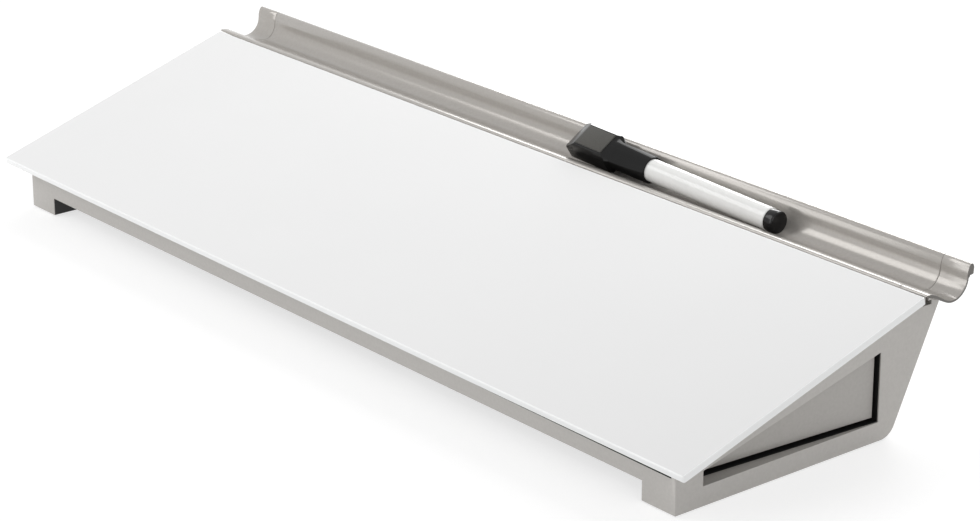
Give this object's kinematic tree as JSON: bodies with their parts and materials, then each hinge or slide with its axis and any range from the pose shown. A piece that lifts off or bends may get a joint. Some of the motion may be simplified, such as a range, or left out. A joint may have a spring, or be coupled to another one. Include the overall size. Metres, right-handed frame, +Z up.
{
  "type": "magnetic desk whiteboard easel",
  "caption": "Sloped glass whiteboard on a wedge-shaped desk base, with a drawer that slides out of its right side, a pen tray along the back and a capped marker in the tray.",
  "frame": {"origin": "on the desk, under the middle of the whole easel", "axes": "+X along the board towards the drawer's side, +Y from the front edge to the pen tray, +Z up"},
  "size_m": [0.4584, 0.1489, 0.0727],
  "materials": {
    "board_glass": "back-painted white, polished",
    "sheet_steel": "zinc-plated",
    "foam_tape": "foam",
    "base_plastic": "satin silver-grey",
    "tray_plastic": "satin silver-grey",
    "cover_plastic": "fine texture",
    "foot_rubber": "matte",
    "screw_steel": "zinc-plated",
    "rail_plastic": "smooth",
    "barrel_plastic": "gloss white",
    "black_plastic": "gloss black",
    "liner_plastic": "smooth",
    "ink_fibre": "bonded fibre",
    "nib_fibre": "sintered fibre",
    "pad_felt": "felt",
    "magnet_metal": "nickel-plated"
  },
  "bodies": {
    "easel": {"glass_panel": "board_glass", "steel_backing_sheet": "sheet_steel", "mounting_tape": "foam_tape", "base_housing": "base_plastic", "bottom_cover": "cover_plastic", "cover_screws": "screw_steel", "runner_sole_left": "cover_plastic", "runner_sole_right": "cover_plastic", "rubber_feet": "foot_rubber", "pen_tray": "tray_plastic", "tray_end_left": "tray_plastic", "tray_end_right": "tray_plastic", "tray_lock_screws": "screw_steel", "front_guide_rail": "rail_plastic", "rear_guide_rail": "rail_plastic", "rail_screws": "screw_steel", "drawer_stop": "rail_plastic"},
    "drawer": {"drawer_tub": "cover_plastic", "drawer_front": "base_plastic", "drawer_front_screws": "screw_steel"},
    "marker": {"marker_barrel": "barrel_plastic", "marker_end_plug": "black_plastic", "ink_reservoir": "ink_fibre", "nib_holder": "liner_plastic", "marker_nib": "nib_fibre"},
    "cap": {"marker_cap": "black_plastic", "eraser_pad": "pad_felt", "cap_magnet": "magnet_metal"}
  },
  "joints": [
    {"name": "drawer_slide", "type": "slide", "parent": "easel", "child": "drawer", "axis": [1, 0, 0], "range_m": [0, 0.15]},
    {"name": "marker_lift", "type": "slide", "parent": "easel", "child": "marker", "axis": [0, 0, 1], "range_m": [0, 0.06]},
    {"name": "cap_pull", "type": "slide", "parent": "marker", "child": "cap", "axis": [-0.9995, 0, 0.0332], "range_m": [0, 0.04]}
  ]
}
